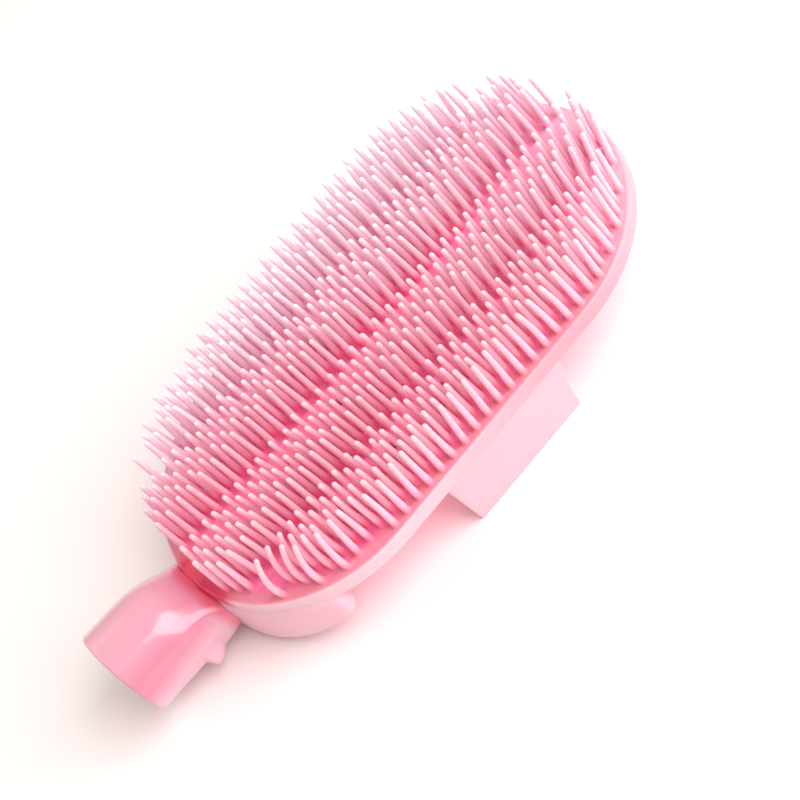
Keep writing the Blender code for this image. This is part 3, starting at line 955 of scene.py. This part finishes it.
def build_strap():
    """One soft band: down from the rim, under the fingers and up to the rim again."""
    shell = Shell()
    rings = []
    for y, z, inner_y, inner_z in strap_path():
        rise = min(max(z / RIM_BOTTOM, 0.0), 1.0)
        x_near = span_low.x + (wall_low.x - span_low.x) * rise
        x_far = span_high.x + (wall_high.x - span_high.x) * rise ** 2
        ring = []
        for x, depth in strap_section(x_near, x_far):
            share = depth / STRAP_THICKNESS
            ring.append((x, y + (inner_y - y) * share, z + (inner_z - z) * share))
        rings.append(ring)
    numbers = shell.sweep(rings)
    shell.faces.append(tuple(numbers[0]))
    shell.faces.append(tuple(reversed(numbers[-1])))
    strap = add_piece("hand_strap", shell, strap_material)
    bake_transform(strap)
    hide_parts("strap_wall_front", "strap_wall_rear", "strap_span")


# ---------------------------------------------------------------- neck and bell

# Sections from the pad to the mouth, in millimetres: x, centre z, half width, top and bottom radius.
NECK_SECTIONS = [
    (-55.6, 9.3, 9.0, 5.8, 6.9),
    (-57.2, 9.5, 9.1, 7.3, 7.8),
    (-59.0, 9.9, 9.3, 8.3, 8.6),
    (-61.5, 10.8, 9.6, 9.1, 9.3),
    (-64.5, 11.55, 9.8, 9.6, 9.5),
    (-68.0, 11.9, 9.8, 9.85, 9.65),
    (-72.0, 12.15, 9.85, 9.95, 9.65),
    (-76.4, 12.35, 10.0, 10.05, 9.7),
]
NECK_SIDES = 96
SLEEVE_END = -60.5 * MM          # where the sleeve ends and the bell begins
LIP = 0.45 * MM

# The crease, the flat panel under it and the tab: turns from the front in degrees, and places
# from the pad's centre towards the mouth in millimetres.
CREASE_TURN = 33.0               # where the crease starts, at the pad
CREASE_PLACE = 57.0
CREASE_SLOPE = 1.5               # degrees down for each millimetre
CREASE_DROP_PLACE = 64.0         # past here it drops faster
CREASE_DROP = 0.6
CREASE_LAST = -30.0
PANEL_LOW = -36.0
PANEL_START = (57.0, 59.5)
PANEL_END = (66.0, 70.0)
PANEL_DENT = 0.8 * MM
TAB_TURN = -38.0
TAB_SPREAD = 10.0
TAB_START = (59.8, 63.3)
TAB_END = (63.6, 65.2)
TAB_HEIGHT = 1.9 * MM
SLEEVE_STEPS = 20
SLEEVE_BORE_STEPS = 6
SLEEVE_FOOT_STEPS = 5
BELL_STEPS = 72


def hermite(share, here, there, slope_here, slope_there):
    """The cubic from here to there with those slopes at its ends."""
    square = share * share
    cube = square * share
    value = (2.0 * cube - 3.0 * square + 1.0) * here + (cube - 2.0 * square + share) * slope_here
    return value + (3.0 * square - 2.0 * cube) * there + (cube - square) * slope_there


def neck_section(x):
    """The section at x: centre z, half width, top radius and bottom radius."""
    table = NECK_SECTIONS
    places = [row[0] * MM for row in table]
    slot = 0
    while slot < len(table) - 2 and x < places[slot + 1]:
        slot += 1
    share = min(max((x - places[slot]) / (places[slot + 1] - places[slot]), 0.0), 1.0)
    values = []
    for column in range(1, 5):
        here, there = table[slot][column], table[slot + 1][column]
        before = table[max(slot - 1, 0)]
        after = table[min(slot + 2, len(table) - 1)]
        width = table[slot + 1][0] - table[slot][0]
        slope_here = (there - before[column]) / (table[slot + 1][0] - before[0]) * width
        slope_there = (after[column] - here) / (after[0] - table[slot][0]) * width
        values.append(hermite(share, here, there, slope_here, slope_there) * MM)
    return values


def neck_plain(x, turn):
    """A point of the skin without panel and tab; turn is 0 at the front and 90 degrees on top."""
    centre, width, top, bottom = neck_section(x)
    height = top if turn > 0.0 else bottom
    return -width * math.cos(turn), centre + height * math.sin(turn)


def neck_skin(x, turn):
    """A point of the skin at the front, with its flat panel under a crease and its small tab."""
    centre, width, top, bottom = neck_section(x)
    degrees = math.degrees(turn)
    along = -x / MM
    crease = CREASE_TURN - CREASE_SLOPE * (along - CREASE_PLACE)
    crease -= CREASE_DROP * max(along - CREASE_DROP_PLACE, 0.0) ** 1.4
    share = (crease - degrees) / (crease - PANEL_LOW) if crease > CREASE_LAST else -1.0
    swell = 0.0
    if 0.0 < share < 1.0:
        panel = smooth_step(along, *PANEL_START) * (1.0 - smooth_step(along, *PANEL_END))
        swell -= PANEL_DENT * panel * 4.0 * share * (1.0 - share)
    tab = smooth_step(along, *TAB_START) * (1.0 - smooth_step(along, *TAB_END))
    swell += TAB_HEIGHT * tab * math.exp(-((degrees - TAB_TURN) / TAB_SPREAD) ** 4)
    height = top if turn > 0.0 else bottom
    return -(width + swell) * math.cos(turn), centre + (height + swell) * math.sin(turn)


def neck_turns():
    """Angles round the neck, from the bottom over the front to the top and down the back."""
    return [math.pi * (2.0 * i / NECK_SIDES - 0.5) for i in range(NECK_SIDES)]


def neck_ring(x):
    """The skin at x; its back half mirrors the plain front."""
    ring = []
    for turn in neck_turns():
        wrapped = (turn + math.pi) % (2.0 * math.pi) - math.pi
        if abs(wrapped) > 0.5 * math.pi:
            y, z = neck_plain(x, math.copysign(math.pi, wrapped) - wrapped)
            y = -y
        else:
            y, z = neck_skin(x, wrapped)
        ring.append((x, y, z))
    return ring


def bore_ring(x, radius):
    """A ring of the round bore at x."""
    centre = neck_section(x)[0]
    return [(x, -radius * math.cos(turn), centre + radius * math.sin(turn)) for turn in neck_turns()]


def rim_inset(z):
    """How far the rim's rounded upper edge has drawn in at that height."""
    rise = min(max(z - (PAD_TOP - RIM_ROUND), 0.0) / RIM_ROUND, 1.0)
    return RIM_ROUND * (1.0 - math.sqrt(1.0 - rise * rise))


def wall_x(y, z):
    """Where the pad's end is at that y and z: the funnel's wall, or the rim above it."""
    funnel = -PAD_STRAIGHT - math.sqrt(FUNNEL_RADIUS ** 2 - y * y)
    rim = -PAD_STRAIGHT - math.sqrt((PAD_RADIUS - rim_inset(z)) ** 2 - y * y)
    share = smooth_step(z, RIM_BOTTOM + COVE_START, RIM_BOTTOM + COVE_HIGH)
    return funnel + (rim - funnel) * share - TOUCH


def build_sleeve():
    """The neck where it grows out of the pad's end."""
    start = NECK_SECTIONS[0][0] * MM
    end = SLEEVE_END + TOUCH
    first = neck_ring(start)
    starts = [wall_x(y, z) for _, y, z in first]
    rings = []
    for share in span_steps(0.0, 1.0, SLEEVE_STEPS):
        ring = neck_ring(start + (end - start) * share)
        rings.append([(x0 + (end - x0) * share, y, z) for x0, (_, y, z) in zip(starts, ring)])
    for share in span_steps(1.0, 0.0, SLEEVE_BORE_STEPS):
        ring = bore_ring(start + (end - start) * share, NECK_BORE)
        rings.append([(wall_x(y, z) + (end - wall_x(y, z)) * share, y, z) for _, y, z in ring])
    inner = rings[-1]
    for share in span_steps(0.0, 1.0, SLEEVE_FOOT_STEPS)[1:-1]:
        foot = []
        for (_, y0, z0), (_, y1, z1) in zip(inner, first):
            y = y0 + (y1 - y0) * share
            z = z0 + (z1 - z0) * share
            foot.append((wall_x(y, z), y, z))
        rings.append(foot)
    shell = Shell()
    shell.sweep(rings, closed=True)
    sleeve = add_piece("neck_sleeve", shell, socket_material, 55.0)
    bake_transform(sleeve)
    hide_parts("neck_tube")


def build_bell():
    """The wide end of the neck with its small tab, and the soft bell that slips over a tap."""
    shell = Shell()
    rings = [neck_ring(x) for x in span_steps(SLEEVE_END - TOUCH, MOUTH_X + LIP, BELL_STEPS)]
    edge = rings[-1]
    middle = neck_section(MOUTH_X + LIP)[0]
    for turn in (20.0, 40.0, 60.0, 80.0):
        angle = math.radians(turn)
        scale = 1.0 - LIP * (1.0 - math.cos(angle)) / SOCKET_RADIUS
        x = MOUTH_X + LIP * (1.0 - math.sin(angle))
        rings.append([(x, y * scale, middle + (z - middle) * scale) for _, y, z in edge])
    bore = [
        (0.0, SOCKET_BORE + 0.35 * MM), (0.25 * MM, SOCKET_BORE + 0.06 * MM), (0.8 * MM, SOCKET_BORE),
        (8.0 * MM, SOCKET_BORE), (8.4 * MM, SOCKET_BORE - 0.3 * MM),
        (8.5 * MM, NECK_BORE + 0.3 * MM), (8.8 * MM, NECK_BORE),
    ]
    for depth, radius in bore:
        rings.append(bore_ring(MOUTH_X + depth, radius))
    inner_end = MOUTH_X + bore[-1][0]
    rings += [bore_ring(x, NECK_BORE) for x in span_steps(inner_end, SLEEVE_END - TOUCH, 8)[1:]]
    shell.sweep(rings, closed=True)
    bell = add_piece("hose_bell", shell, socket_material, 55.0)
    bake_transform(bell)
    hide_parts("neck_collar", "socket_throat", "hose_socket")


# ---------------------------------------------------------------- scene

CAMERA_PLACE = Vector((-7.70, -81.55, 81.09)) * BRISTLE_PITCH + Vector((0.0, 0.0, PAD_TOP))
CAMERA_ELEVATION = math.radians(46.1)
CAMERA_AZIMUTH = math.radians(4.1)
CAMERA_ROLL = math.radians(46.9)
CAMERA_LENS = 88.36
FLOOR_COLOUR = (0.92, 0.86, 0.85)
ROOM_COLOUR = (1.0, 0.93, 0.91)
ROOM_STRENGTH = 0.62
KEY_COLOUR = (1.0, 0.98, 0.96)
GLOW_COLOUR = (1.0, 0.42, 0.55)


def build_camera():
    """A long lens from above the front, rolled so that the brush lies across the picture."""
    rise = math.sin(CAMERA_ELEVATION)
    level = math.cos(CAMERA_ELEVATION)
    forward = Vector((math.sin(CAMERA_AZIMUTH) * level, math.cos(CAMERA_AZIMUTH) * level, -rise))
    right = Vector((math.cos(CAMERA_AZIMUTH), -math.sin(CAMERA_AZIMUTH), 0.0))
    up = right.cross(forward)
    x_axis = right * math.cos(CAMERA_ROLL) - up * math.sin(CAMERA_ROLL)
    y_axis = right * math.sin(CAMERA_ROLL) + up * math.cos(CAMERA_ROLL)
    turn = Matrix((x_axis, y_axis, -forward)).transposed().to_4x4()
    data = bpy.data.cameras.new("camera")
    data.sensor_width = 36.0
    data.lens = CAMERA_LENS
    data.clip_start = 0.01
    data.clip_end = 20.0
    camera = bpy.data.objects.new("camera", data)
    camera.matrix_world = Matrix.Translation(CAMERA_PLACE) @ turn
    bpy.context.scene.collection.objects.link(camera)
    bpy.context.scene.camera = camera


def build_floor():
    """A plain white floor just under the strap."""
    bm = bmesh.new()
    bmesh.ops.create_grid(bm, x_segments=1, y_segments=1, size=3.0)
    mesh = bpy.data.meshes.new("floor")
    bm.to_mesh(mesh)
    bm.free()
    floor = bpy.data.objects.new("floor", mesh)
    floor.location.z = -0.01 * MM
    bpy.context.scene.collection.objects.link(floor)
    material, nodes, links, shader = new_material("floor_white")
    shader.inputs["Base Color"].default_value = (*FLOOR_COLOUR, 1.0)
    shader.inputs["Roughness"].default_value = 0.9
    shader.inputs["Specular IOR Level"].default_value = 0.1
    mesh.materials.append(material)


def area_light(name, place, aim, size, power, colour=(1.0, 1.0, 1.0)):
    """A rectangular light at place that faces aim."""
    data = bpy.data.lights.new(name, "AREA")
    data.shape = "RECTANGLE"
    data.size, data.size_y = size
    data.energy = power
    data.color = colour
    lamp = bpy.data.objects.new(name, data)
    lamp.location = place
    lamp.rotation_euler = (Vector(aim) - Vector(place)).to_track_quat("-Z", "Y").to_euler()
    bpy.context.scene.collection.objects.link(lamp)


def build_light():
    """A bright white room, a large soft light from the front right and a weak one behind.

    The small pink light under the pad stands in for light that comes through the silicone."""
    world = bpy.data.worlds.new("studio")
    world.use_nodes = True
    background = world.node_tree.nodes["Background"]
    background.inputs["Color"].default_value = (*ROOM_COLOUR, 1.0)
    background.inputs["Strength"].default_value = ROOM_STRENGTH
    bpy.context.scene.world = world
    pad_centre = (0.0, 0.0, 0.01)
    area_light("key", (0.52, -0.6, 0.73), pad_centre, size=(0.95, 0.95), power=14.0, colour=KEY_COLOUR)
    area_light("back", (-0.45, 0.65, 0.6), pad_centre, size=(0.8, 0.8), power=1.5)
    under_pad = (0.0, 0.0, cover_low.z - MM)
    area_light("glow", under_pad, (0.0, 0.0, 0.0), size=(0.09, 0.05), power=0.007, colour=GLOW_COLOUR)
    bpy.context.scene.view_settings.view_transform = "Standard"


build_camera()
build_floor()
build_light()
build_face()
chance = random.Random(BRISTLE_SEED)
for number, band in enumerate(row_places(), start=1):
    build_band(number, band, chance)
build_cover()
build_funnel()
build_strap()
build_sleeve()
build_bell()
